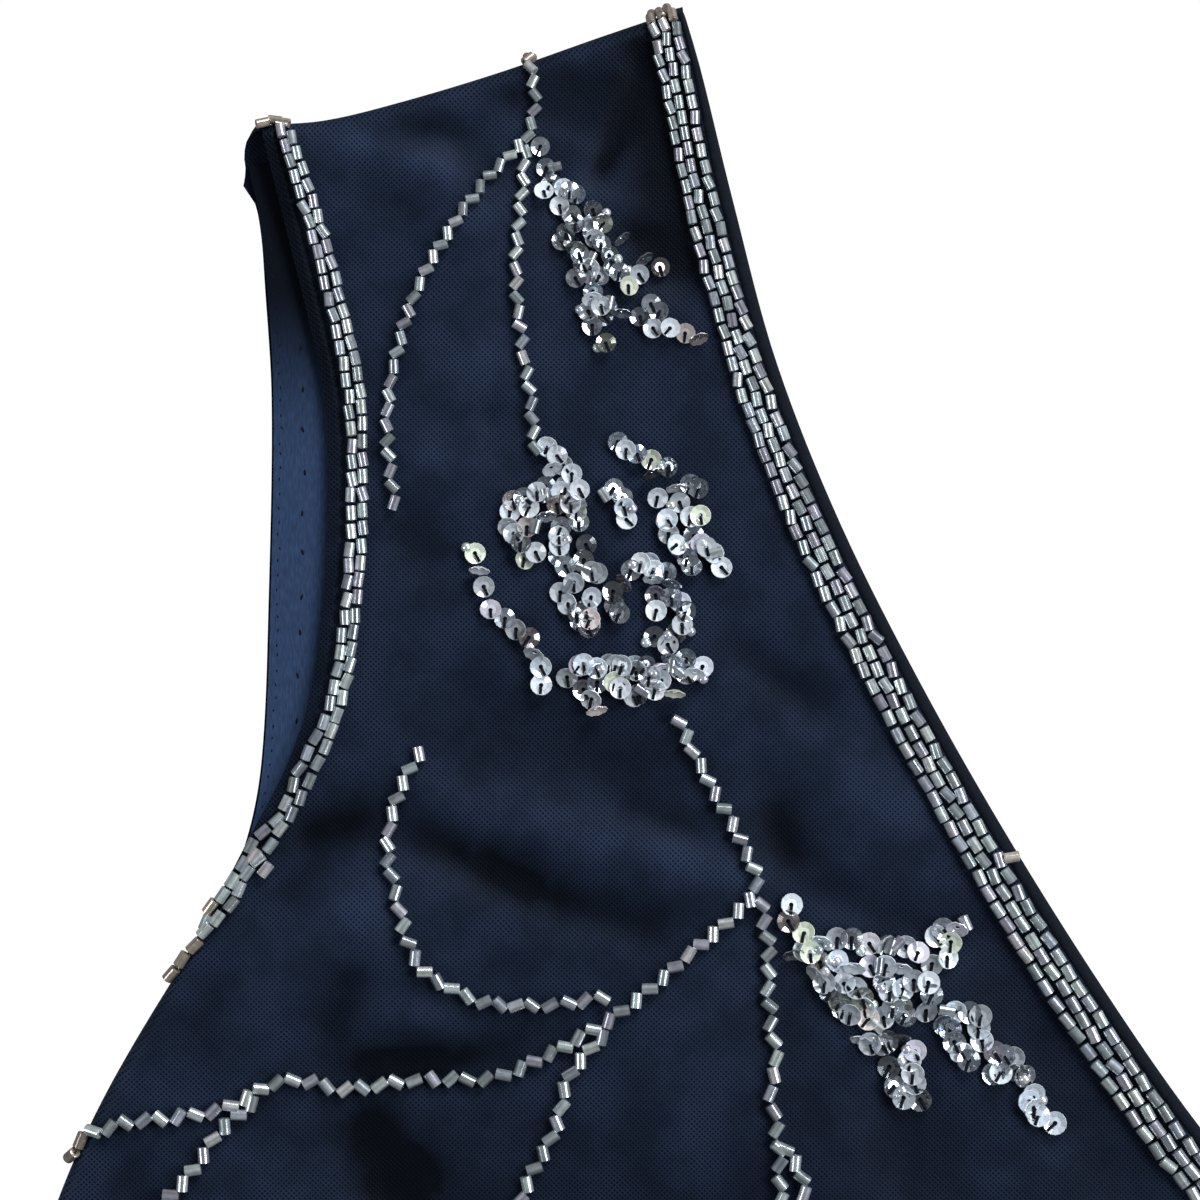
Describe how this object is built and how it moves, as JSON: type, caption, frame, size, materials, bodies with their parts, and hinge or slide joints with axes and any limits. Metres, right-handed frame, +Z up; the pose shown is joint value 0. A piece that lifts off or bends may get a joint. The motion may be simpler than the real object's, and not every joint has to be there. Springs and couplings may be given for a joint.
{
  "type": "embellished party dress",
  "caption": "Sleeveless deep-V party dress in navy net over satin, laid flat, with beaded neck and armhole edges and bead and sequin embroidery.",
  "frame": {"origin": "on the surface that the dress lies on, at the middle of its outline", "axes": "+X towards the picture's right, +Y towards the neck, +Z up from the surface"},
  "size_m": [0.5692, 0.9597, 0.0083],
  "materials": {
    "net_over_satin": "satin",
    "lining_satin": "satin",
    "binding": "matte",
    "bugle_beads": "gloss",
    "sequins": "gloss"
  },
  "bodies": {
    "root": {"front_panel": "net_over_satin", "back_panel": "net_over_satin", "back_lining_left": "lining_satin", "back_lining_right": "lining_satin", "neck_binding_front": "binding", "neck_binding_back": "binding", "neck_beads_left": "bugle_beads", "neck_beads_right": "bugle_beads", "armhole_beads_left": "bugle_beads", "armhole_beads_right": "bugle_beads"}
  },
  "joints": []
}
